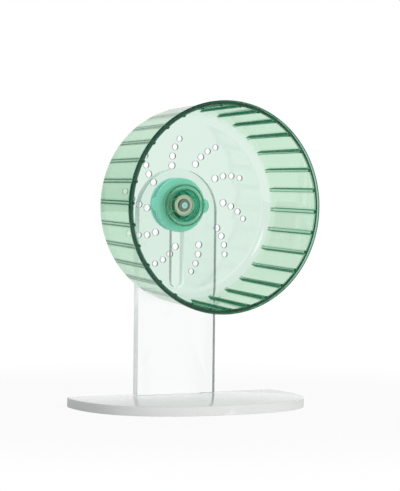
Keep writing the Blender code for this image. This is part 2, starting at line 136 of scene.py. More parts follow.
def cutSheet(loops, low, high, place=None):
    # flat outlines, the first one outermost, as one plate from low to high
    curve = bpy.data.curves.new("outline", "CURVE")
    curve.dimensions = "2D"
    curve.fill_mode = "BOTH"
    curve.extrude = (high - low) / 2
    for loop in loops:
        spline = curve.splines.new("POLY")
        spline.points.add(len(loop) - 1)
        for point, (x, y) in zip(spline.points, loop):
            point.co = (x, y, 0, 1)
        spline.use_cyclic_u = True
    flat = bpy.data.objects.new("outline", curve)
    bpy.context.scene.collection.objects.link(flat)
    graph = bpy.context.evaluated_depsgraph_get()
    mesh = bpy.data.meshes.new_from_object(flat.evaluated_get(graph))
    bpy.data.objects.remove(flat)
    shape = bmesh.new()
    shape.from_mesh(mesh)
    bmesh.ops.translate(shape, verts=shape.verts, vec=(0, 0, (low + high) / 2))
    bmesh.ops.remove_doubles(shape, verts=shape.verts, dist=weld["flat"])
    bmesh.ops.dissolve_limit(shape, verts=shape.verts, edges=shape.edges, angle_limit=straight)
    if place is None:
        onAxle(shape)
    else:
        bmesh.ops.transform(shape, matrix=place, verts=shape.verts)
        bmesh.ops.recalc_face_normals(shape, faces=shape.faces)
    return asMesh(shape)


def changed(mesh, *steps):
    # runs modifiers on a mesh and gives back the mesh that they make
    holder = bpy.data.objects.new("holder", mesh)
    bpy.context.scene.collection.objects.link(holder)
    for kind, values in steps:
        modifier = holder.modifiers.new(kind, kind)
        for key, value in values.items():
            setattr(modifier, key, value)
    graph = bpy.context.evaluated_depsgraph_get()
    made = bpy.data.meshes.new_from_object(holder.evaluated_get(graph))
    bpy.data.objects.remove(holder)
    return made


def edgesRounded(mesh, width, segments=3):
    return changed(mesh, ("BEVEL", {
        "width": width, "segments": segments, "limit_method": "ANGLE",
        "angle_limit": crease, "use_clamp_overlap": False}))


def combined(mesh, other, operation, solver):
    helper = bpy.data.objects.new("helper", other)
    bpy.context.scene.collection.objects.link(helper)
    made = changed(mesh, ("BOOLEAN", {
        "operation": operation, "solver": solver, "object": helper}))
    bpy.data.objects.remove(helper)
    return made


def grown(mesh, other):
    return combined(mesh, other, "UNION", "MANIFOLD")


def cut(mesh, tool, solver="MANIFOLD"):
    return combined(mesh, tool, "DIFFERENCE", solver)


def gathered(placed):
    # one mesh that holds a copy of each mesh at its place in the world
    whole = bmesh.new()
    for mesh, place in placed:
        first = len(whole.verts)
        whole.from_mesh(mesh)
        whole.verts.ensure_lookup_table()
        bmesh.ops.transform(whole, matrix=place, verts=whole.verts[first:])
    return asMesh(whole)


def spunRound(angle):
    # a turn about the axle line, counted from +X upwards as seen from the front
    centre = Matrix.Translation((0, 0, axleLine["height"]))
    return centre @ Matrix.Rotation(-math.radians(angle), 4, "Y") @ centre.inverted()


def addPiece(name, mesh, finish, body, nodes):
    piece = bpy.data.objects.new(name, mesh)
    bpy.context.scene.collection.objects.link(piece)
    mesh.name = name
    mesh.materials.clear()
    mesh.materials.append(finish)
    mesh.shade_smooth()
    mesh.set_sharp_from_angle(angle=crease)
    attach(piece, body)
    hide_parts(*nodes)
    return piece


# Shader groups

def newGroup(name, inputs, outputs):
    # inputs are given with the values they start at; only "Colour" is a colour socket
    group = bpy.data.node_groups.new(name, "ShaderNodeTree")
    for way, labels in (("INPUT", inputs), ("OUTPUT", outputs)):
        for label in labels:
            kind = "NodeSocketColor" if label == "Colour" else "NodeSocketFloat"
            socket = group.interface.new_socket(label, in_out=way, socket_type=kind)
            if way == "INPUT":
                socket.default_value = inputs[label]
    return group, group.nodes.new("NodeGroupInput").outputs, group.nodes.new("NodeGroupOutput")


def give(node, sockets, values):
    # a plain value is set, an output of another node is linked
    for socket, value in zip(sockets, values):
        if isinstance(value, bpy.types.NodeSocket):
            node.id_data.links.new(value, socket)
        else:
            socket.default_value = value
    return node


def setInputs(node, **values):
    sockets = [node.inputs[key.replace("_", " ")] for key in values]
    return give(node, sockets, values.values())


def addNode(tree, kind, settings=None, **values):
    node = tree.nodes.new(kind)
    for key, value in (settings or {}).items():
        setattr(node, key, value)
    return setInputs(node, **values)


def addMath(tree, operation, *values):
    node = addNode(tree, "ShaderNodeMath", {"operation": operation})
    return give(node, node.inputs, values).outputs[0]


def coordinates(tree, kind="Object"):
    return tree.nodes.new("ShaderNodeTexCoord").outputs[kind]


def addNoise(tree, place, size, **values):
    # a noise whose grain has the given size in metres
    scale = addMath(tree, "DIVIDE", 1.0, size)
    return addNode(tree, "ShaderNodeTexNoise", Vector=place, Scale=scale, **values).outputs["Fac"]


def addRange(tree, value, reach, least=0.0, most=1.0, kind="SMOOTHSTEP"):
    # goes from least to most while the value goes through its reach
    return addNode(tree, "ShaderNodeMapRange", {"interpolation_type": kind}, Value=value,
                   From_Min=reach[0], From_Max=reach[1], To_Min=least, To_Max=most).outputs[0]


def addAxlePlace(tree):
    # how far a point is from the axle line, and its Y
    place = addNode(tree, "ShaderNodeSeparateXYZ", Vector=coordinates(tree)).outputs
    up = addMath(tree, "SUBTRACT", place["Z"], axleLine["height"])
    across = addMath(tree, "MULTIPLY", place["X"], place["X"])
    return addMath(tree, "SQRT", addMath(tree, "MULTIPLY_ADD", up, up, across)), place["Y"]


def buildMouldedSkin():
    # colour that drifts a little over the part, and the fine orange peel of a moulded face
    group, taken, given = newGroup("mouldedSkin", {
        "Colour": (0.5, 0.5, 0.5, 1), "Drift": 0.05, "Drift Size": 0.03, "Roughness": 0.3,
        "Roughness Spread": 0.05, "Peel Size": 0.0008}, ["Colour", "Roughness", "Height"])
    place = coordinates(group)
    slow = addNoise(group, place, taken["Drift Size"], Detail=3.0, Roughness=0.55)
    swing = addMath(group, "SUBTRACT", slow, 0.5)
    tint = addNode(group, "ShaderNodeVectorMath", {"operation": "SCALE"},
                   Scale=addMath(group, "MULTIPLY_ADD", swing, taken["Drift"], 1.0))
    group.links.new(taken["Colour"], tint.inputs[0])
    fine = addNoise(group, place, taken["Peel Size"], Detail=4.0, Roughness=0.6)
    both = addMath(group, "ADD", addMath(group, "SUBTRACT", fine, 0.5), swing)
    rough = addMath(group, "MULTIPLY_ADD", both, taken["Roughness Spread"], taken["Roughness"])
    setInputs(given, Colour=tint.outputs[0], Roughness=rough, Height=fine)
    return group


def buildHairlines():
    # faint rubbed lines from wiping, in two crossing directions
    group, taken, given = newGroup("hairlines", {"Spacing": 0.0006, "Amount": 0.4}, ["Mask"])
    place = coordinates(group)
    rubbed, peaks = [], (0.62, 0.72)
    for turn in ((0.3, 0.2, 0.5), (1.2, -0.4, 1.9)):
        laid = addNode(group, "ShaderNodeMapping", Vector=place, Rotation=turn,
                       Scale=(1.0, 0.03, 0.4))
        lines = addNoise(group, laid.outputs[0], taken["Spacing"], Detail=2.0, Roughness=0.5)
        rubbed.append(addRange(group, lines, peaks, kind="LINEAR"))
    setInputs(given, Mask=addMath(group, "MULTIPLY", addMath(group, "MAXIMUM", *rubbed),
                                  taken["Amount"]))
    return group


def buildTurningMarks():
    # rings round the axle line, as a lathe or a grinding wheel leaves them
    group, taken, given = newGroup("turningMarks", {"Spacing": 0.00025, "Unevenness": 0.5},
                                   ["Height"])
    radius, along = addAxlePlace(group)
    rings = addNode(group, "ShaderNodeCombineXYZ",
                    X=addMath(group, "DIVIDE", radius, taken["Spacing"]),
                    Y=addMath(group, "DIVIDE", along, taken["Spacing"]))
    grooves = addNode(group, "ShaderNodeTexNoise", Vector=rings.outputs[0], Scale=1.0, Detail=2.0)
    setInputs(given, Height=addMath(group, "MULTIPLY", grooves.outputs["Fac"],
                                    taken["Unevenness"]))
    return group


def buildEdgeWearAndHighlight():
    # convex edges catch handling and a painted highlight: a mask that is 1 on the sharpest ones
    group, taken, given = newGroup("edgeWearAndHighlight", {"Start": 0.52, "Width": 0.06, "Patchiness": 0.5},
                                   ["Mask"])
    bend = group.nodes.new("ShaderNodeNewGeometry").outputs["Pointiness"]
    past = addMath(group, "SUBTRACT", bend, taken["Start"])
    share = addMath(group, "DIVIDE", past, taken["Width"])
    patches = addNode(group, "ShaderNodeTexNoise", Vector=coordinates(group), Scale=160.0, Detail=3.0)
    kept = addMath(group, "MULTIPLY", patches.outputs["Fac"], taken["Patchiness"])
    mask = addMath(group, "MULTIPLY", share, addMath(group, "SUBTRACT", 1.0, kept))
    mask.node.use_clamp = True
    setInputs(given, Mask=mask)
    return group


def buildNearAxle():
    # a mask that is 1 on faces near the axle line and in front of a given place along it
    group, taken, given = newGroup("nearAxle", {"Reach": 0.0155, "Softness": 0.0006,
                                                "Rear": 0.103}, ["Mask"])
    radius, along = addAxlePlace(group)
    near = addMath(group, "DIVIDE", addMath(group, "SUBTRACT", taken["Reach"], radius),
                   taken["Softness"])
    near.node.use_clamp = True
    along = addMath(group, "SUBTRACT", along, axleLine["rimPlane"])
    ahead = addMath(group, "LESS_THAN", along, taken["Rear"])
    setInputs(given, Mask=addMath(group, "MULTIPLY", near, ahead))
    return group


mouldedSkin = buildMouldedSkin()
hairlines = buildHairlines()
turningMarks = buildTurningMarks()
edgeWearAndHighlight = buildEdgeWearAndHighlight()
nearAxle = buildNearAxle()
print("shader groups built")


# Materials

# Painted shade and light on the green plastic: it looks deeper where it is seen along its thickness,
# and its skin is painted there, zone by zone, with the dark lines, dark caps, pale bands and edge
# glow that bent light gives it.
paintedLightAndShade = {
    # painted colour, how clear it is (1 is polished, less is frosted), share of the painted edge glow
    "plain": (0.97, 0.99, 0.98, 1, 0), "wall": (0.86, 0.965, 0.86, 1, 0),
    "flank": (0.0, 0.08, 0.04, 0.9, 0.9), "tip": (0.12, 0.3, 0.16, 0.9, 0.2),
    "cap": (0.0, 0.02, 0.03, 0.8, 0.3), "line": (0.0, 0.06, 0.03, 0.8, 0.5),
    "hole": (0.0, 0.02, 0.015, 0.9, 0), "hub": (0.35, 0.75, 0.6, 1, 0),
    "groove": (0.0, 0.08, 0.05, 1, 0), "hubRib": (0.8, 0.97, 0.9, 0.5, 0.8),
    # the rim from the bead's inner side over its front to its outer round
    "rimInside": (0.8, 0.78, 0.55, 0.55, 0.2), "rimFront": (0.72, 0.95, 0.9, 1, 0),
    "rimOuter": (0.0, 0.2, 0.14, 0.8, 0.5), "shoulder": (0.0, 0.01, 0.01, 1, 0),
    "rimEdge": (0.4, 0.8, 0.65, 1, 0.8),
    # the next colour is a painted glow: light that runs in the plastic and leaves at its edges, given
    # as emission
    "paintedGlowInPlastic": (0.0, 0.09, 0.045),  # light that runs in the plastic and leaves at its edges
    # share of the flank's tint at distances in mm from the middle of a rib
    "acrossRib": [(0.0, 0.0), (0.75, 0.0), (1.05, 0.7), (1.25, 1.0), (1.68, 1.0),
                  (1.9, 0.5), (2.3, 0.0)],
    "acrossLine": [(0.0, 0.0), (0.7, 0.0), (0.85, 1.0), (2.1, 1.0), (2.4, 0.0)],
    # where the zones end: a rib's tip and cap in mm from its middle, the cap's depth, the share
    # of the tip's tint, the share of the bead's round, the radii round the air holes
    "ribHalf": 1.6, "capDepth": 0.0012, "tipShare": 0.6, "roundShare": 0.7,
    "ribsFrom": 0.05, "holesFrom": 0.03, "holesTo": 0.07875,
    "slack": 0.0001, "wallSlack": 0.0005,  # points this near to a limit are still on it
    # how squarely a face of the back wall or of the bead's step looks along the axle line
    "wallFacing": 0.9, "stepFacing": 0.5, "stepTo": 0.0063,
}


def placeGroup(tree, group, **values):
    return addNode(tree, "ShaderNodeGroup", {"node_tree": group}, **values)


def newMaterial(name, **values):
    made = bpy.data.materials.new(name)
    made.use_nodes = True
    return made, made.node_tree, setInputs(made.node_tree.nodes["Principled BSDF"], **values)


def addBump(tree, shader, height, distance):
    bump = addNode(tree, "ShaderNodeBump", Strength=1.0, Distance=distance, Height=height)
    setInputs(shader, Normal=bump.outputs[0])


def mixColours(tree, factor, first, second):
    mix = addNode(tree, "ShaderNodeMix", {"data_type": "RGBA"})
    return give(mix, (mix.inputs[0], *mix.inputs[6:8]), (factor, first, second)).outputs[2]


def mixShaders(tree, factor, first, second):
    mix = tree.nodes.new("ShaderNodeMixShader")
    give(mix, mix.inputs, (factor, first.outputs[0], second.outputs[0]))
    setInputs(tree.nodes["Material Output"], Surface=mix.outputs[0])


def seenThrough(tree, shader, shadow, colour, density):
    # the plastic takes up light on its way; shadow rays pass straight, so what is behind is lit
    straight = addNode(tree, "ShaderNodeBsdfTransparent", Color=(*shadow, 1))
    path = tree.nodes.new("ShaderNodeLightPath")
    mixShaders(tree, path.outputs["Is Shadow Ray"], shader, straight)
    volume = addNode(tree, "ShaderNodeVolumeAbsorption", Color=(*colour, 1), Density=density)
    setInputs(tree.nodes["Material Output"], Volume=volume.outputs[0])


def rubbedRoughness(tree, skin, spacing, amount):
    lines = placeGroup(tree, hairlines, Spacing=spacing, Amount=amount)
    return addMath(tree, "ADD", skin.outputs["Roughness"], lines.outputs["Mask"])


def wornAndHighlitColour(tree, skin, colour, **values):
    # the skin's colour, and another one on the sharp edges, for their wear and a painted highlight
    wearAndHighlight = placeGroup(tree, edgeWearAndHighlight, **values)
    return mixColours(tree, wearAndHighlight.outputs["Mask"], skin.outputs["Colour"], (*colour, 1))


def facesAlong(tree, axis):
    # 1 on faces that look along an axis of the piece, 0 on the cut edges between them
    facing = addNode(tree, "ShaderNodeSeparateXYZ", Vector=coordinates(tree, "Normal"))
    return addMath(tree, "ABSOLUTE", facing.outputs[axis])


def greenPlastic():
    made, tree, shader = newMaterial(
        "greenPlastic", IOR=1.5, Transmission_Weight=1.0, Specular_IOR_Level=0.5,
        Emission_Strength=1.0)
    # the tint attribute carries the painted shade and light of each zone of the drum
    tint = addNode(tree, "ShaderNodeAttribute", {"attribute_name": "tint"}).outputs
    skin = placeGroup(tree, mouldedSkin, Colour=tint["Color"], Drift=0.03, Drift_Size=0.05,
                      Roughness=0.015, Roughness_Spread=0.02, Peel_Size=0.004)
    frost = addMath(tree, "SUBTRACT", 1.0, tint["Alpha"])
    rough = addMath(tree, "ADD", rubbedRoughness(tree, skin, 0.0009, 0.05), frost)
    # the glow attribute gives the share of a painted glow at the plastic's edges
    paintedGlowShare = addNode(tree, "ShaderNodeAttribute", {"attribute_name": "glow"}).outputs["Fac"]
    light = mixColours(tree, paintedGlowShare, (0, 0, 0, 1), (*paintedLightAndShade["paintedGlowInPlastic"], 1))
    setInputs(shader, Base_Color=skin.outputs["Colour"], Roughness=rough, Emission_Color=light)
    seenThrough(tree, shader, (0.94, 0.97, 0.95), (0.0, 0.549, 0.211), 142.0)
    return made


def clearAcrylic():
    made, tree, shader = newMaterial(
        "clearAcrylic", IOR=1.49, Transmission_Weight=1.0, Specular_IOR_Level=0.5,
        Emission_Strength=1.0)
    skin = placeGroup(tree, mouldedSkin, Colour=(0.985, 0.99, 0.99, 1), Drift=0.01,
                      Drift_Size=0.06, Roughness=0.012, Roughness_Spread=0.02, Peel_Size=0.006)
    # the faces are polished; the cut edges are matt, with a painted glow where they are seen from
    # outside and painted shade where they are seen from within
    edge = addMath(tree, "SUBTRACT", 1.0, facesAlong(tree, "Y"))
    within = tree.nodes.new("ShaderNodeNewGeometry").outputs["Backfacing"]
    # painted shade on the cut edges seen from within, and a painted glow on those seen from outside
    dark = addMath(tree, "MULTIPLY", edge, within)
    paintedGlowOnEdge = addMath(tree, "MULTIPLY", edge, addMath(tree, "SUBTRACT", 1.0, within))
    rough = rubbedRoughness(tree, skin, 0.0012, 0.06)
    setInputs(shader,
              Base_Color=mixColours(tree, dark, skin.outputs["Colour"], (0.12, 0.125, 0.125, 1)),
              Emission_Color=mixColours(tree, paintedGlowOnEdge, (0, 0, 0, 1), (0.36, 0.36, 0.37, 1)),
              Roughness=addMath(tree, "MULTIPLY_ADD", edge, 0.45, rough))
    seenThrough(tree, shader, (0.95, 0.96, 0.96), (0.2, 0.45, 0.4), 4.0)
    return made


def whiteAcrylic():
    made, tree, shader = newMaterial("whiteAcrylic", IOR=1.49, Coat_Roughness=0.03)
    skin = placeGroup(tree, mouldedSkin, Colour=(0.8, 0.805, 0.8, 1), Drift=0.02,
                      Drift_Size=0.05, Roughness=0.1, Roughness_Spread=0.04, Peel_Size=0.003)
    # lighter sharp edges: wear and a painted highlight
    colour = wornAndHighlitColour(tree, skin, (0.86, 0.87, 0.87), Start=0.52, Width=0.05, Patchiness=0.6)
    # polished above, sawn at the edge
    flat = facesAlong(tree, "Z")
    edge = addMath(tree, "SUBTRACT", 1.0, flat)
    rough = rubbedRoughness(tree, skin, 0.0008, 0.12)
    setInputs(shader, Base_Color=colour, Coat_Weight=addMath(tree, "MULTIPLY", flat, 0.3),
              Roughness=addMath(tree, "MULTIPLY_ADD", edge, 0.5, rough))
    addBump(tree, shader, skin.outputs["Height"], 0.00001)
    return made


def mintPlastic():
    made, tree, shader = newMaterial("mintPlastic", IOR=1.5)
    skin = placeGroup(tree, mouldedSkin, Colour=(0.29, 0.77, 0.71, 1), Drift=0.06,
                      Drift_Size=0.012, Roughness=0.32, Roughness_Spread=0.08, Peel_Size=0.0006)
    # lighter sharp edges: wear and a painted highlight
    edged = wornAndHighlitColour(tree, skin, (0.4, 0.82, 0.75), Start=0.53, Width=0.06, Patchiness=0.7)
    deep = placeGroup(tree, nearAxle)  # the bottom of the hub's socket, which little light reaches
    colour = mixColours(tree, deep.outputs["Mask"], edged, (0.01, 0.22, 0.16, 1))
    setInputs(shader, Base_Color=colour, Roughness=skin.outputs["Roughness"])
    addBump(tree, shader, skin.outputs["Height"], 0.00004)
    return made


def turnedMetal(name, colour, roughness, spacing, depth, wornAndHighlitTo):
    made, tree, shader = newMaterial(name, Metallic=1.0)
    skin = placeGroup(tree, mouldedSkin, Colour=(*colour, 1), Drift=0.12, Drift_Size=0.004,
                      Roughness=roughness, Roughness_Spread=0.12, Peel_Size=0.0005)
    marks = placeGroup(tree, turningMarks, Spacing=spacing, Unevenness=1.0)
    # sharp edges take the given colour: wear and a painted highlight
    edged = wornAndHighlitColour(tree, skin, wornAndHighlitTo, Start=0.54, Width=0.08, Patchiness=0.6)
    setInputs(shader, Base_Color=edged, Roughness=skin.outputs["Roughness"])
    addBump(tree, shader, marks.outputs["Height"], depth)
    return made


def cagePlastic():
    made, tree, shader = newMaterial("cagePlastic", IOR=1.53)
    skin = placeGroup(tree, mouldedSkin, Colour=(0.1, 0.09, 0.08, 1), Drift=0.2,
                      Drift_Size=0.002, Roughness=0.5, Roughness_Spread=0.1, Peel_Size=0.0004)
    setInputs(shader, Base_Color=skin.outputs["Colour"], Roughness=skin.outputs["Roughness"])
    addBump(tree, shader, skin.outputs["Height"], 0.00003)
    return made


green = greenPlastic()
clear = clearAcrylic()
white = whiteAcrylic()
mint = mintPlastic()
brightSteel = turnedMetal("brightSteel", (0.62, 0.62, 0.6), 0.22, 0.00012, 0.000004, (0.8, 0.8, 0.79))
# the next three steels are tinted green and dimmed: a painted reflection of the plastic round them,
# and painted shade
axleSteelWithPaintedReflection = turnedMetal("axleSteelWithPaintedReflection", (0.52, 0.86, 0.78), 0.5, 0.00012, 0.000003, (0.6, 0.9, 0.84))
ringSteelWithPaintedReflection = turnedMetal("ringSteelWithPaintedReflection", (0.5, 0.54, 0.41), 0.4, 0.00012, 0.000004, (0.5, 0.52, 0.42))
shieldSteelWithPaintedReflection = turnedMetal("shieldSteelWithPaintedReflection", (0.52, 0.72, 0.5), 0.45, 0.0002, 0.000006, (0.6, 0.8, 0.58))
darkSteel = turnedMetal("darkSteel", (0.21, 0.26, 0.22), 0.4, 0.00015, 0.000004, (0.38, 0.45, 0.4))
brass = turnedMetal("brass", (0.7, 0.52, 0.2), 0.28, 0.0002, 0.000006, (0.85, 0.68, 0.36))
cageFinish = cagePlastic()
print("materials built")


# The base: a glossy slab with a straight back edge and a bowed front edge

base = {
    "width": 0.2403, "depth": 0.1354, "thickness": 0.0095,
    "cornerDepth": 0.0315, "cornerWidth": 0.0075,
    "bow": 2.44,  # 2 would be half an ellipse
    "edge": 0.0006,
    "mortise": (0.0603, 0.0106), "mortiseCorner": 0.0006, "mortiseFloor": 0.0022,
    "cutTop": 0.02,  # the mortise's cutter ends above the base
}


def baseOutline():
    half, join = base["width"] / 2, base["depth"] / 2 - base["cornerDepth"]
    reach = base["depth"] - base["cornerDepth"]
    back, front, power = 12, 72, 2 / base["bow"]  # steps along each, and the front's curve
    side = []
    for i in range(back):
        a = math.pi / 2 * (1 - i / back)
        side.append((half - base["cornerWidth"] * (1 - math.cos(a)),
                     join + base["cornerDepth"] * math.sin(a)))
    for i in range(front + 1):
        a = math.pi / 2 * i / front
        side.append((half * math.cos(a) ** power, join - reach * math.sin(a) ** power))
    return side + [(-x, y) for x, y in reversed(side[:-1])]


def basePlate():
    slab = cutSheet([baseOutline()], 0, base["thickness"], Matrix())
    slab = edgesRounded(slab, base["edge"])
    wide, deep = base["mortise"]
    low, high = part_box("upright_plate")
    middle = (low.y + high.y) / 2
    corners = [(sx * wide / 2, middle + sy * deep / 2, base["mortiseCorner"])
               for sx, sy in ((-1, -1), (1, -1), (1, 1), (-1, 1))]
    mortise = cutSheet([rounded(corners, 3)], base["mortiseFloor"], base["cutTop"], Matrix())
    addPiece("baseSlab", cut(slab, mortise, "EXACT"), white, "stand",
             ["base_plate"])


# The upright: clear sheet with a round top, a slot and a tenon that stands in the base

upright = {
    "halfWidth": 0.044, "front": 0.0525, "rear": 0.0625, "archHeight": 0.1951,
    "shoulder": 0.0098, "tenonHalf": 0.030, "tenonFoot": 0.0025,
    "slotHalf": 0.00685, "slotCentres": (0.12505, 0.20685), "edge": 0.0005,
}


def uprightPlate():
    half, foot = upright["halfWidth"], upright["tenonHalf"]
    low, shoulder = upright["tenonFoot"], upright["shoulder"]
    outline = [(-foot, low), (foot, low), (foot, shoulder), (half, shoulder)]
    outline += arcPoints((0, upright["archHeight"]), half, 0, 180, 96)
    outline += [(-half, shoulder), (-foot, shoulder)]
    slot = longHole(upright["slotHalf"], *upright["slotCentres"], 32)
    stood = Matrix.Rotation(math.pi / 2, 4, "X")
    sheet = cutSheet([outline, slot], -upright["rear"], -upright["front"], stood)
    addPiece("uprightSheet", edgesRounded(sheet, upright["edge"]), clear, "stand",
             ["upright_plate"])


# The wheel: one moulding of running wall, rim bead, ribs, back wall with air holes, and hub

wheel = {
    "rimRadius": 0.105, "beadWidth": 0.0048, "beadDepth": 0.0042, "beadRound": 0.0011,
    "wall": 0.0019, "frontRadius": 0.1036, "rearRadius": 0.09925, "depth": 0.091,
    "cornerRadius": 0.015, "backWall": 0.0019,
    "ribs": 30, "ribPhase": -2.5,  # degrees
    "ribFrontRadius": 0.0992, "ribRearRadius": 0.0949, "ribStart": 0.0006, "ribEnd": 0.0845,
    "ribTip": 0.003, "ribTipRise": 0.0012,
    # half of a rib's cross section: distance from its middle in mm, share of its height
    "ribShape": [(0.5, 1.0), (0.8, 0.979), (1.05, 0.939), (1.25, 0.866), (1.38, 0.779),
                 (1.45, 0.64), (1.5, 0.3), (1.56, 0.12), (1.68, 0.03), (1.9, 0.0), (2.3, 0.0)],
    "ribShapeRadius": 0.0985,  # where those distances are measured
    "stripsBetween": 8,  # flat strips of wall from one rib to the next
    # a rib's front end: angle on the bead, height above the rib's edge, depth behind its start
    "ribNose": [(70, 0.0011, 0.0), (76, 0.00035, 0.0), (83, 0.0001, 0.0001), (90, 0.0, 0.00035)],
    # the bead's rear: distances from the wall or from the rim's line, each with its depth
    "rearOnWall": [(0.0, 0.0046), (0.0004, 0.0042)],
    "rearOnRim": [(0.0005, 0.0037), (0.0001, 0.0033), (0.0, 0.0029)],
    "rearInside": [(0.0, 0.0029), (0.0001, 0.0034), (0.0005, 0.0039)],
    "rearEnd": (0.0046, 0.0052),  # depths at which the running wall starts inside
    "smoothTo": 0.0045,  # the bead is shaded round up to here
    "arms": 10, "armAngles": (111.2, 106.8, 101.7, 96.2),
    "holeShares": (0.4086, 0.4933, 0.5712, 0.6419),  # of the rim's radius
    "holeRadii": (0.0035, 0.00329, 0.00308, 0.00287), "holeEdge": 0.00015,
    "holeSpare": 0.001,  # how far the holes' cutters stick out of the wall
}
hub = {
    "radius": 0.0213, "wall": 0.0015, "socket": 0.0152, "web": 0.0016, "rear": 0.0995,
    "ribs": 6, "ribWidth": 0.0013, "seat": 0.0112, "lip": 0.0007, "lipThickness": 0.0012,
    "groove": 0.0003,  # half its width, on the wall's front face round the hub
    "bearingFront": 0.0922, "gap": 0.0003,
    "rearEdge": 0.0004, "edge": 0.0003, "lipEdge": 0.0001,
}


def ribEdge(along):
    share = along / wheel["ribEnd"]
    return wheel["ribFrontRadius"] + (wheel["ribRearRadius"] - wheel["ribFrontRadius"]) * share


def drumStations():
    # the drum's section as pairs of (radius, along): on the bare wall, and on top of a rib
    depth, corner, wall = wheel["depth"], wheel["cornerRadius"], wheel["wall"]
    bend = (wheel["rearRadius"] - corner, depth - corner)
    rim, bead, turn = wheel["rimRadius"], wheel["beadWidth"], wheel["beadRound"]
    front = wheel["frontRadius"]
    hubMiddle = hub["radius"] - hub["wall"] / 2
    inner = rim - bead

    def onBead(degrees):
        a = math.radians(degrees)
        return inner + turn - turn * math.sin(a), turn - turn * math.cos(a)

    outside = [(hubMiddle, depth)]
    outside += arcPoints(bend, corner, 90, 0, 12)
    outside += [(front + out, along) for out, along in wheel["rearOnWall"]]
    outside += [(rim - into, along) for into, along in wheel["rearOnRim"]]
    outside += arcPoints((rim - turn, turn), turn, 0, -90, 5)
    outside += [onBead(21 * i) for i in range(4)]
    pairs = [(p, p) for p in outside]
    start = wheel["ribStart"]
    for degrees, above, behind in wheel["ribNose"]:
        pairs.append((onBead(degrees), (ribEdge(start) + above, start + behind)))
    rear = [(inner + out, along) for out, along in wheel["rearInside"]]
    rear += [(front - wall, along) for along in wheel["rearEnd"]]
    for radius, along in rear:
        pairs.append(((radius, along), (ribEdge(along), along)))
    inside = corner - wall
    tipStart = wheel["ribEnd"] - wheel["ribTip"]
    for degrees in [4.5 * i for i in range(11)] + [54, 63, 72, 81, 90]:  # finer at the ribs' tips
        a = math.radians(degrees)
        bare = (bend[0] + inside * math.cos(a), bend[1] + inside * math.sin(a))
        top = ribEdge(min(bare[1], tipStart))
        if bare[1] > tipStart:
            share = min((bare[1] - tipStart) / wheel["ribTip"], 1.0)
            top += wheel["ribTipRise"] * (1 - math.sqrt(1 - share ** 2))
        pairs.append((bare, (min(bare[0], top), bare[1])))
    pairs.append(((hubMiddle, depth - wheel["backWall"]),) * 2)
    return pairs


def drumAngles():
    # angles round the drum, each with the share of a rib's height that it has
    half = [(0.0, 1.0)] + wheel["ribShape"]
    across = [(-u, b) for u, b in reversed(half[1:])] + half
    step, measured = 360 / wheel["ribs"], wheel["ribShapeRadius"]
    reach = math.degrees(across[-1][0] * mm / measured)
    strips = wheel["stripsBetween"]
    clearStep = (step - 2 * reach) / strips
    angles = []
    for i in range(wheel["ribs"]):
        middle = wheel["ribPhase"] + step * i
        angles += [(middle + math.degrees(u * mm / measured), b) for u, b in across]
        angles += [(middle + reach + clearStep * k, 0.0) for k in range(1, strips)]
    return angles


def drumBody():
    stations = drumStations()
    shape = bmesh.new()
    rings = []
    for degrees, share in drumAngles():
        c, s = math.cos(math.radians(degrees)), math.sin(math.radians(degrees))
        ring = []
        for bare, top in stations:
            r = bare[0] + (top[0] - bare[0]) * share
            a = bare[1] + (top[1] - bare[1]) * share
            ring.append(shape.verts.new((r * c, r * s, a)))
        rings.append(ring)
    joinRings(shape, rings)
    return asMesh(onAxle(shape))


def airHoles():
    # cutters that flare where they meet each face, so that the holes have soft edges
    depth, inner = wheel["depth"], wheel["depth"] - wheel["backWall"]
    flare, spare = wheel["holeEdge"], wheel["holeSpare"]
    step = 360 / wheel["arms"]
    cutters = []
    for angle, share, radius in zip(wheel["armAngles"], wheel["holeShares"], wheel["holeRadii"]):
        profile = [(0, inner - spare), (radius + flare, inner - spare), (radius + flare, inner)]
        profile += [(radius, inner + flare), (radius, depth - flare)]
        profile += [(radius + flare, depth), (radius + flare, depth + spare), (0, depth + spare)]
        cutter = turned(profile, 32, closed=False)
        away = Matrix.Translation((wheel["rimRadius"] * share, 0, 0))
        cutters += [(cutter, spunRound(angle + step * i) @ away) for i in range(wheel["arms"])]
    return gathered(cutters)


def hubBody():
    front = wheel["depth"] - wheel["backWall"]
    web = front + hub["web"]
    outer, wall, rear = hub["radius"], hub["wall"], hub["rear"]
    socket, edge, ends = hub["socket"], hub["edge"], hub["rearEdge"]
    return lathe([
        (outer, front, 0), (outer, rear, ends), (outer - wall, rear, ends),
        (outer - wall, web, edge), (socket + wall, web, edge), (socket + wall, rear, ends),
        (socket, rear, ends), (socket, front, edge)], 3, 144)


def hubRibs():
    front = hub["bearingFront"] - hub["gap"] - hub["lipThickness"]
    behind = hub["bearingFront"] - hub["gap"]
    root = hub["socket"] + hub["wall"] / 2
    seat, lip, edge = hub["seat"], hub["lip"], hub["edge"]
    outline = rounded([
        (root, front, 0), (seat - lip, front, edge), (seat - lip, behind, hub["lipEdge"]),
        (seat, behind, 0), (seat, hub["rear"], edge), (root, hub["rear"], 0)], 2)
    half = hub["ribWidth"] / 2
    shape = bmesh.new()
    sides = [[shape.verts.new((r, side, a)) for r, a in outline] for side in (-half, half)]
    for side in sides:
        shape.faces.new(side)
    joinRings(shape, sides, around=False)
    rib = asMesh(onAxle(shape))
    step = 360 / hub["ribs"]
    return gathered([(rib, spunRound(90 + step * i)) for i in range(hub["ribs"])])


def between(table, x):
    for (x0, y0), (x1, y1) in zip(table, table[1:]):
        if x <= x1:
            return y0 + (y1 - y0) * max(x - x0, 0) / (x1 - x0)
    return table[-1][1]


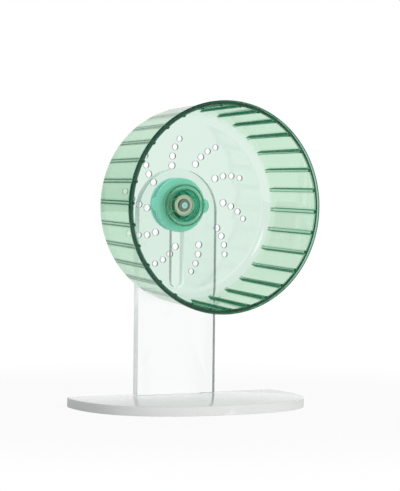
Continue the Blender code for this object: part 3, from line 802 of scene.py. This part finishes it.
# the rim bead's painted shade and light, zone by zone
def rimPaintedShade(radius, along, rim):
    w, slack = wheel, paintedLightAndShade["slack"]
    if radius < rim + slack:
        return paintedLightAndShade["rimInside"]
    if radius < rim + w["beadRound"] * paintedLightAndShade["roundShare"]:
        return paintedLightAndShade["rimEdge"]
    if radius < w["rimRadius"] - w["beadRound"] - slack:
        return paintedLightAndShade["rimFront"]
    return paintedLightAndShade["rimOuter"] if along < w["beadRound"] * paintedLightAndShade["roundShare"] else paintedLightAndShade["wall"]


# a rib's painted shade: dark flanks, a darker tip and a dark cap
def ribPaintedShade(along, across):
    colour = Vector(paintedLightAndShade["wall"]).lerp(Vector(paintedLightAndShade["flank"]),
                                        between(paintedLightAndShade["acrossRib"], across))
    if across < paintedLightAndShade["ribHalf"] and along > wheel["ribEnd"] - wheel["ribTip"]:
        colour = colour.lerp(Vector(paintedLightAndShade["tip"]), paintedLightAndShade["tipShare"])
    if across < paintedLightAndShade["ribHalf"] and along < paintedLightAndShade["capDepth"]:
        colour = paintedLightAndShade["cap"]
    return colour


# the painted shade and light of the drum's skin at a point, by zone
def paintedShadeAt(radius, along, angle):
    w, slack = wheel, paintedLightAndShade["slack"]
    rim, wallLimit = w["rimRadius"] - w["beadWidth"], w["frontRadius"] - w["wall"]
    wallLimit += (w["rearRadius"] - w["frontRadius"]) * along / w["depth"]
    wallLimit += paintedLightAndShade["wallSlack"]
    if along < w["beadDepth"] + slack and radius > rim - 2 * slack:
        return rimPaintedShade(radius, along, rim)
    step = 360 / w["ribs"]
    away = abs((angle - w["ribPhase"] + step / 2) % step - step / 2)
    across = math.radians(away) * w["ribShapeRadius"] / mm
    if along < w["ribEnd"] - w["ribTip"] and radius > wallLimit:
        return Vector(paintedLightAndShade["wall"]).lerp(Vector(paintedLightAndShade["line"]),
                                          between(paintedLightAndShade["acrossLine"], across))
    if along < w["ribEnd"] and paintedLightAndShade["ribsFrom"] < radius < wallLimit:
        return ribPaintedShade(along, across)
    backWall = w["depth"] - w["backWall"]
    if along > backWall - slack / 2 and paintedLightAndShade["holesFrom"] < radius < paintedLightAndShade["holesTo"]:
        return paintedLightAndShade["hole"]
    if radius < hub["socket"] - slack:
        return paintedLightAndShade["hubRib"]
    onHub = abs(radius - hub["socket"]) < slack or abs(radius - hub["radius"]) < slack
    if onHub and along > backWall - slack:
        return paintedLightAndShade["hub"]
    return paintedLightAndShade["groove"] if abs(radius - hub["radius"]) < hub["groove"] else paintedLightAndShade["plain"]


# paints shade and light into the drum's skin colour, with the share of the painted glow
def paintShadeIntoSkin(mesh):
    # each face has its own corners' colours, so the flat back wall stays plain up to its edges
    colours = []
    for v in mesh.vertices:
        x, y = v.co.x, v.co.z - axleLine["height"]
        colours.append(paintedShadeAt(math.hypot(x, y), v.co.y - axleLine["rimPlane"],
                              math.degrees(math.atan2(y, x))))
    mesh.attributes.new("tint", "FLOAT_COLOR", "CORNER")
    mesh.attributes.new("glow", "FLOAT", "CORNER")
    marks, paintedGlowShare = mesh.attributes["tint"], mesh.attributes["glow"]
    # the bead's step is painted near black, as shade
    inside = wheel["frontRadius"] - wheel["wall"]  # where the bead's dark step ends
    for face in mesh.polygons:
        x, along, y = face.center - Vector((0, axleLine["rimPlane"], axleLine["height"]))
        facing, whole = face.normal.y, None
        if abs(facing) > paintedLightAndShade["wallFacing"] and along > wheel["ribEnd"]:
            whole = paintedLightAndShade["plain"]
        elif (facing > paintedLightAndShade["stepFacing"] and along < paintedLightAndShade["stepTo"]
              and math.hypot(x, y) < inside):
            whole = paintedLightAndShade["shoulder"]
        for i, v in zip(face.loop_indices, face.vertices):
            *colour, share = whole or colours[v]
            marks.data[i].color = colour
            paintedGlowShare.data[i].value = share


def wheelDrum():
    drum = grown(cut(drumBody(), airHoles()), grown(hubBody(), hubRibs()))
    front, half = wheel["depth"] - wheel["backWall"], hub["groove"]
    groove = turned([(hub["radius"] - half, front - half), (hub["radius"] + half, front - half),
                     (hub["radius"] + half / 2, front + half), (hub["radius"], front + half)], 144)
    drum = cut(drum, groove)
    paintShadeIntoSkin(drum)
    made = addPiece("wheelDrum", drum, green, "wheel", ["wheel_drum"])
    for face in made.data.polygons:
        # the walls are made of narrow flat strips, so that they don't bend what is behind them
        along = face.center.y - axleLine["rimPlane"]
        face.use_smooth = (along > wheel["depth"] - wheel["cornerRadius"]
                           or along < wheel["smoothTo"])


# The flange in front of the plate and the knob behind it

flange = {
    "radius": 0.0275, "front": 0.1011, "rear": 0.1060, "edge": 0.0008,
    "earRadius": 0.0075, "earPlace": 0.0252, "earTilt": -2.3, "earStep": 0.0001,
    "earThickness": 0.0028, "earEdge": 0.00048, "bossRadius": 0.010, "bossFront": 0.1007,
    "bore": 0.0042, "tongueHalf": 0.00655, "tongueReach": 0.00445, "tongueRear": 0.1149,
    "tongueEdge": 0.0004, "bossEdge": 0.0003,
    "pocketFlats": 0.0136, "pocketFloor": 0.1032, "pocketCorner": 0.0005,
    "boreInto": 0.001, "spare": 0.002,  # how far the cutters reach into and beyond the flange
}


def hexBar(flats, corner, low, high, *holes):
    points = arcPoints((0, 0), flats / math.sqrt(3), 0, 300, 5)
    outline = rounded([(x, y, corner) for x, y in points], 2)
    return cutSheet([outline, *holes], low, high)


def bar(radius, low, high, steps, place=(0, 0), edge=0.0):
    profile = [(0, low, 0), (radius, low, edge), (radius, high, edge), (0, high, 0)]
    mesh = lathe(profile, 3, steps, closed=False)
    mesh.transform(Matrix.Translation((place[0], 0, place[1])))
    return mesh


def frontFlange():
    f = flange
    disc = lathe([
        (f["bore"], f["rear"], 0), (f["radius"], f["rear"], f["edge"]),
        (f["radius"], f["front"], f["edge"]), (f["bossRadius"], f["front"], f["bossEdge"]),
        (f["bossRadius"], f["bossFront"], f["bossEdge"]), (f["bore"], f["bossFront"], 0)], 4, 144)
    low, tilt = f["front"] + f["earStep"], math.radians(f["earTilt"])
    for side in (-1, 1):
        reach = side * f["earPlace"]
        place = (reach * math.cos(tilt), reach * math.sin(tilt))
        ear = bar(f["earRadius"], low, low + f["earThickness"], 64, place, f["earEdge"])
        disc = grown(disc, ear)
    middle = (f["front"] + f["rear"]) / 2
    tongue = cutSheet([longHole(f["tongueHalf"], -f["tongueReach"], f["tongueReach"], 24)],
                      middle, f["tongueRear"])
    disc = grown(disc, edgesRounded(tongue, f["tongueEdge"], 2))
    disc = cut(disc, bar(f["bore"], f["rear"] - f["boreInto"], f["tongueRear"] + f["spare"], 48))
    pocket = hexBar(f["pocketFlats"], f["pocketCorner"], f["bossFront"] - f["spare"],
                    f["pocketFloor"])
    made = addPiece("frontFlange", cut(disc, pocket), mint, "carriage",
                    ["front_flange"])
    made.visible_shadow = False  # the knob behind it is lit as well


knob = {
    "radius": 0.0268, "front": 0.1169, "flange": 0.0035, "edge": 0.001, "rear": 0.1334,
    "gripRadius": 0.0182, "lobe": 0.0011, "lobes": 8, "gripEdge": 0.0015, "endWall": 0.002,
    "mouth": 0.0153, "mouthEdge": 0.0003, "recessFloor": 0.1184, "bore": 0.0042,
    "pocketFlats": 0.0136, "pocketCorner": 0.0005, "pocketRear": 0.1280,
    "spare": 0.004,  # how far the cutters reach out of the front
}


def clampKnob():
    k = knob
    gripFront = k["front"] + k["flange"]
    core = k["gripRadius"] - 2 * k["lobe"]
    disc = lathe([
        (0, k["rear"] - k["endWall"], 0), (k["bore"], k["rear"] - k["endWall"], 0),
        (k["bore"], k["recessFloor"], 0), (k["mouth"], k["recessFloor"], k["mouthEdge"]),
        (k["mouth"], k["front"], k["mouthEdge"]), (k["radius"], k["front"], k["edge"]),
        (k["radius"], gripFront, k["edge"]), (core, gripFront, 0),
        (core, k["rear"] - k["endWall"] / 2, 0), (0, k["rear"] - k["endWall"] / 2, 0)],
        4, 144, closed=False)
    outline = []
    steps = k["lobes"] * 18
    for i in range(steps):
        a = 2 * math.pi * i / steps
        radius = k["gripRadius"] + k["lobe"] * math.cos(k["lobes"] * a)
        outline.append((radius * math.cos(a), radius * math.sin(a)))
    grip = cutSheet([outline], gripFront - k["flange"] / 2, k["rear"])
    grip = edgesRounded(grip, k["gripEdge"], 4)
    hollow = bar(k["gripRadius"] - 3 * k["lobe"], k["front"] - k["spare"],
                 k["rear"] - k["endWall"] * 3 / 4, 96)
    disc = grown(disc, cut(grip, hollow))
    pocket = hexBar(k["pocketFlats"], k["pocketCorner"], k["recessFloor"] - k["spare"],
                    k["pocketRear"])
    addPiece("clampKnob", cut(disc, pocket), mint, "knob", ["clamp_knob"])


# Steel and brass

axle = {
    "journal": 0.0038, "front": 0.0908, "chamfer": 0.0005, "collarFront": 0.0995,
    "collarRadius": 0.0057, "headFront": 0.1004, "headRear": 0.1029, "headFlats": 0.013,
    "tail": 0.0039, "end": 0.1306, "centreHole": 0.0009,
    "edge": 0.0001, "collarEdge": 0.0002, "headCorner": 0.0004,
}
ring = {"inner": 0.004, "outer": 0.0062, "front": 0.0911, "rear": 0.0919, "edge": 0.00012}
bearing = {
    "bore": 0.004, "radius": 0.011, "front": 0.0922, "rear": 0.0992,
    "innerLand": 0.0062, "outerLand": 0.0087, "pitch": 0.0075, "grooveRadius": 0.002245,
    "shieldSeat": 0.0095, "shieldLip": 0.0010, "edge": 0.0003,
    "shieldInner": 0.0065, "shieldOuter": 0.0093, "shieldThick": 0.0003, "shieldInset": 0.0004,
    # a shield's shape: distances from its inner and its outer edge, each with the height there
    "dishInner": [(0.0, 0.00012), (0.0003, 0.00004), (0.0007, 0.0)],
    "dishOuter": [(0.0009, 0.0), (0.0005, 0.00016), (0.0002, 0.0001), (0.0, 0.0)],
    "shieldRelief": 0.00002,  # by which its far side stays inside its thickness
    "balls": 7, "ballRadius": 0.001985,
    "cageInner": 0.0066, "cageOuter": 0.0083, "cageFront": 0.0007, "cageRear": 0.0026,
    "cageFrontEdge": 0.0002, "cageRearEdge": 0.0003, "cageGap": 0.00016,
}
washer = {"inner": 0.0042, "outer": 0.015, "front": 0.1166, "rear": 0.1181, "edge": 0.0002}
insert = {"flats": 0.013, "bore": 0.0042, "front": 0.1187, "rear": 0.1277,
          "corner": 0.0004, "edge": 0.0002}


def axlePin():
    a = axle
    chamfer, edge, middle = a["chamfer"], a["edge"], (a["headFront"] + a["headRear"]) / 2
    pin = lathe([
        (0, a["front"] + a["centreHole"], 0), (a["centreHole"], a["front"], edge),
        (a["journal"] - chamfer, a["front"], edge), (a["journal"], a["front"] + chamfer, edge),
        (a["journal"], a["collarFront"], 0),
        (a["collarRadius"], a["collarFront"], a["collarEdge"]),
        (a["collarRadius"], middle, 0), (a["tail"], middle, 0),
        (a["tail"], a["end"] - chamfer, edge), (a["tail"] - chamfer, a["end"], edge),
        (0, a["end"], 0)], 2, 64, closed=False)
    head = hexBar(a["headFlats"], a["headCorner"], a["headFront"], a["headRear"])
    pin = grown(pin, edgesRounded(head, a["collarEdge"], 2))
    addPiece("axlePin", pin, axleSteelWithPaintedReflection, "carriage", ["axle"])


def retainingRing():
    band = tube(ring["inner"], ring["outer"], ring["front"], ring["rear"], ring["edge"], 2, 72)
    addPiece("retainingRing", band, darkSteel, "carriage", ["retaining_ring"])


def grooved(centre, land, outwards):
    # the balls' groove in a ring: an arc from one side of its land to the other
    b = bearing
    reach = math.degrees(math.acos(abs(land - centre) / b["grooveRadius"]))
    middle, side = (0, -1) if outwards else (180, 1)
    return [(r, a, 0) for r, a in arcPoints(
        (centre, (b["front"] + b["rear"]) / 2), b["grooveRadius"], middle + side * reach,
        middle - side * reach, 10)]


def bearingRings():
    b = bearing
    edge = b["edge"]
    inner = lathe([
        (b["bore"], b["front"], edge), (b["innerLand"], b["front"], edge / 2),
        *grooved(b["pitch"], b["innerLand"], False),
        (b["innerLand"], b["rear"], edge / 2), (b["bore"], b["rear"], edge)], 3, 72)
    addPiece("bearingInnerRing", inner, ringSteelWithPaintedReflection, "carriage",
             ["bearing_inner_ring"])
    lip = b["shieldLip"]
    outer = lathe([
        (b["radius"], b["front"], edge), (b["shieldSeat"], b["front"], edge / 2),
        (b["shieldSeat"], b["front"] + lip, 0), (b["outerLand"], b["front"] + lip, 0),
        *grooved(b["pitch"], b["outerLand"], True),
        (b["outerLand"], b["rear"] - lip, 0), (b["shieldSeat"], b["rear"] - lip, 0),
        (b["shieldSeat"], b["rear"], edge / 2), (b["radius"], b["rear"], edge)], 3, 96)
    addPiece("bearingOuterRing", outer, ringSteelWithPaintedReflection, "wheel",
             ["bearing_outer_ring"])


def bearingShields():
    # pressed discs: dished a little, with a curled rim in the outer ring's groove
    b = bearing
    thick, inset = b["shieldThick"], b["shieldInset"]
    for name, face, way in (("Front", b["front"] + inset, 1), ("Rear", b["rear"] - inset, -1)):
        dish = [(b["shieldInner"] + out, lift) for out, lift in b["dishInner"]]
        dish += [(b["shieldOuter"] - into, lift) for into, lift in b["dishOuter"]]
        near = [(r, face + way * (lift * 0.5)) for r, lift in dish]
        far = [(r, face + way * (thick - b["shieldRelief"])) for r, lift in reversed(dish)]
        plate = turned(near + far, 72)
        addPiece("bearingShield" + name, plate, shieldSteelWithPaintedReflection, "wheel",
                 ["bearing_shield_" + name.lower()])


def addSphere(shape, centre, radius):
    bmesh.ops.create_icosphere(shape, subdivisions=3, radius=radius,
                               matrix=Matrix.Translation(centre))


def bearingBalls():
    # the cage's pockets are the balls' shapes, a little larger
    b = bearing
    middle = (b["front"] + b["rear"]) / 2
    front, rear = middle - b["cageFront"], middle + b["cageRear"]
    cage = lathe([
        (b["cageInner"], front, b["cageFrontEdge"]), (b["cageOuter"], front, b["cageFrontEdge"]),
        (b["cageOuter"], rear, b["cageRearEdge"]), (b["cageInner"], rear, b["cageRearEdge"])],
        2, 84)
    pockets = bmesh.new()
    for i in range(b["balls"]):
        node = f"bearing_ball_{i + 1}"
        low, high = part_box(node)
        centre = (low + high) / 2
        addSphere(pockets, centre, b["ballRadius"] + b["cageGap"])
        ball = bmesh.new()
        addSphere(ball, centre, b["ballRadius"])
        addPiece(f"bearingBall{i + 1}", asMesh(ball), brightSteel, "ball_train",
                 [node])
    addPiece("bearingCage", cut(cage, asMesh(pockets)), cageFinish, "ball_train",
             ["bearing_cage"])


def clampHardware():
    w = washer
    disc = tube(w["inner"], w["outer"], w["front"], w["rear"], w["edge"], 3, 96)
    addPiece("clampWasher", disc, brightSteel, "clamp", ["clamp_washer"])
    bore = arcPoints((0, 0), insert["bore"], 0, 360, 48)[:-1]
    nut = hexBar(insert["flats"], insert["corner"], insert["front"], insert["rear"], bore)
    addPiece("knobInsert", edgesRounded(nut, insert["edge"], 2), brass, "knob",
             ["knob_insert"])


basePlate()
uprightPlate()
print("stand built")
wheelDrum()
print("wheel built")
frontFlange()
clampKnob()
axlePin()
retainingRing()
bearingRings()
bearingShields()
bearingBalls()
clampHardware()
print("flange, knob, axle and bearing built")


# The stage: pale floor, a light surround and three soft lamps

stage = {
    "floorColour": (0.8, 0.8, 0.8), "floorSize": 6.0, "shadowShare": 0.09,
    "shadowReach": (0.25, 0.6),  # the floor turns plain white between these distances
    "ambient": (0.35, 0.355, 0.36), "ambientThroughPlastic": (1.3, 1.32, 1.34),
    "backdropTurn": 27.0, "backdropReach": (0.45, 0.95),
    "softboxReach": (0.78, 0.95), "softbox": 1.0,  # in front, mirrored in walls and steel
    "windowReach": (0.965, 0.99), "window": 2.5,  # to the left, mirrored in rounded corners
    "windowTowards": (-0.5, -0.75, 0.42),
    "dark": 0.06, "darkThroughPlastic": 0.18,
    "lampsAim": (0, 0, 0.15),
    "bounces": 32,  # light runs a long way inside clear plastic
}
lamps = [
    # place, size, power and colour
    ((0.7, -2.3, 0.8), 1.0, 32.0, (1.0, 0.99, 0.98)),
    ((-1.6, -1.2, 1.1), 1.0, 5.0, (0.98, 0.99, 1.0)),
    ((0.1, 0.5, 2.0), 1.4, 8.0, (1.0, 1.0, 1.0)),
]


def floorMaterial():
    made, tree, shader = newMaterial("paleFloor")
    skin = placeGroup(tree, mouldedSkin, Colour=(*stage["floorColour"], 1), Drift=0.01,
                      Drift_Size=0.4, Roughness=0.8, Roughness_Spread=0.05, Peel_Size=0.002)
    setInputs(shader, Base_Color=skin.outputs["Colour"], Roughness=skin.outputs["Roughness"])
    glow = addNode(tree, "ShaderNodeEmission", Color=(1, 1, 1, 1), Strength=1.0)
    path = tree.nodes.new("ShaderNodeLightPath").outputs
    seen = addMath(tree, "MAXIMUM", path["Is Camera Ray"], path["Is Glossy Ray"])
    seen = addMath(tree, "MAXIMUM", seen, path["Is Transmission Ray"])
    away = addNode(tree, "ShaderNodeVectorMath", {"operation": "LENGTH"})
    give(away, away.inputs, [coordinates(tree)])
    fade = addRange(tree, away.outputs["Value"], stage["shadowReach"], 1 - stage["shadowShare"])
    mixShaders(tree, addMath(tree, "MULTIPLY", seen, fade), shader, glow)
    return made


def buildFloor():
    half = stage["floorSize"] / 2
    mesh = bpy.data.meshes.new("floor")
    mesh.from_pydata([(-half, -half, 0), (half, -half, 0), (half, half, 0), (-half, half, 0)],
                     [], [(0, 1, 2, 3)])
    mesh.materials.append(floorMaterial())
    floor = bpy.data.objects.new("floor", mesh)
    bpy.context.scene.collection.objects.link(floor)


def buildSurround():
    # white to the eye; reflections and what is seen through plastic get darker to the sides
    world = bpy.data.worlds.new("surround")
    bpy.context.scene.world = world
    world.use_nodes = True
    tree = world.node_tree
    path = tree.nodes.new("ShaderNodeLightPath").outputs
    place = coordinates(tree, "Generated")
    turn = math.radians(stage["backdropTurn"])
    levels = []
    for towards, reach, low, high in (
            ((math.sin(turn), math.cos(turn), 0.25), "backdropReach", stage["dark"], 1.0),
            ((math.sin(turn), -math.cos(turn), 0.1), "softboxReach", 0.0, stage["softbox"]),
            (stage["windowTowards"], "windowReach", 0.0, stage["window"])):
        facing = addNode(tree, "ShaderNodeVectorMath", {"operation": "DOT_PRODUCT"})
        give(facing, facing.inputs, (place, towards))
        levels.append(addRange(tree, facing.outputs["Value"], stage[reach], low, high))
    backdrop, softbox, window = levels
    inside = addMath(tree, "GREATER_THAN", path["Transmission Depth"], 0.5)
    least = addMath(tree, "MULTIPLY", inside, stage["darkThroughPlastic"])
    window = addMath(tree, "MULTIPLY", window, path["Is Glossy Ray"])
    level = addMath(tree, "MAXIMUM", addMath(tree, "MAXIMUM", backdrop, softbox), least)
    level = addMath(tree, "MAXIMUM", level, window)
    room = addNode(tree, "ShaderNodeCombineColor", Red=level, Green=level, Blue=level)
    bent = addMath(tree, "MAXIMUM", path["Is Glossy Ray"], path["Is Transmission Ray"])
    colour = mixColours(tree, bent, (*stage["ambient"], 1), room.outputs[0])
    scattered = addMath(tree, "GREATER_THAN", path["Diffuse Depth"], 0.5)
    colour = mixColours(tree, addMath(tree, "MULTIPLY", scattered, inside), colour,
                        (*stage["ambientThroughPlastic"], 1))
    colour = mixColours(tree, path["Is Camera Ray"], colour, (1, 1, 1, 1))
    setInputs(tree.nodes["Background"], Color=colour)


def buildLamps():
    for i, (place, size, power, colour) in enumerate(lamps):
        light = bpy.data.lights.new(f"lamp{i + 1}", "AREA")
        light.shape = "DISK"
        light.size = size
        light.energy = power
        light.color = colour
        lamp = bpy.data.objects.new(light.name, light)
        bpy.context.scene.collection.objects.link(lamp)
        lamp.location = place
        lamp.visible_glossy = lamp.visible_transmission = False  # soft light, no hot spots
        aim = Vector(stage["lampsAim"]) - Vector(place)
        lamp.rotation_euler = aim.to_track_quat("-Z", "Y").to_euler()


eye = {
    "turn": 26.983, "dip": 2.2155, "roll": 0.5775,  # degrees
    "distance": 2.50637, "lens": 188.72, "aim": (-0.028659, -0.0538, 0.165527),
    "sensor": 36.0, "reach": 50.0,  # the sensor's width in mm, and how far it sees
}


def placeCamera():
    turn, dip, roll = (math.radians(eye[k]) for k in ("turn", "dip", "roll"))
    ahead = Vector((math.sin(turn) * math.cos(dip), math.cos(turn) * math.cos(dip),
                    -math.sin(dip)))
    right = Vector((math.cos(turn), -math.sin(turn), 0))
    up = right.cross(ahead)
    sideways = right * math.cos(roll) + up * math.sin(roll)
    upwards = up * math.cos(roll) - right * math.sin(roll)
    data = bpy.data.cameras.new("eye")
    data.lens = eye["lens"]
    data.sensor_width = eye["sensor"]
    data.clip_end = eye["reach"]
    camera = bpy.data.objects.new("eye", data)
    bpy.context.scene.collection.objects.link(camera)
    place = Matrix((sideways, upwards, -ahead)).transposed().to_4x4()
    place.translation = Vector(eye["aim"]) - ahead * eye["distance"]
    camera.matrix_world = place
    bpy.context.scene.camera = camera


buildFloor()
buildSurround()
buildLamps()
placeCamera()
bpy.context.scene.view_settings.view_transform = "Standard"
for kind in ("max_bounces", "transmission_bounces", "glossy_bounces", "transparent_max_bounces"):
    setattr(bpy.context.scene.cycles, kind, stage["bounces"])
print("stage, lamps and camera placed")
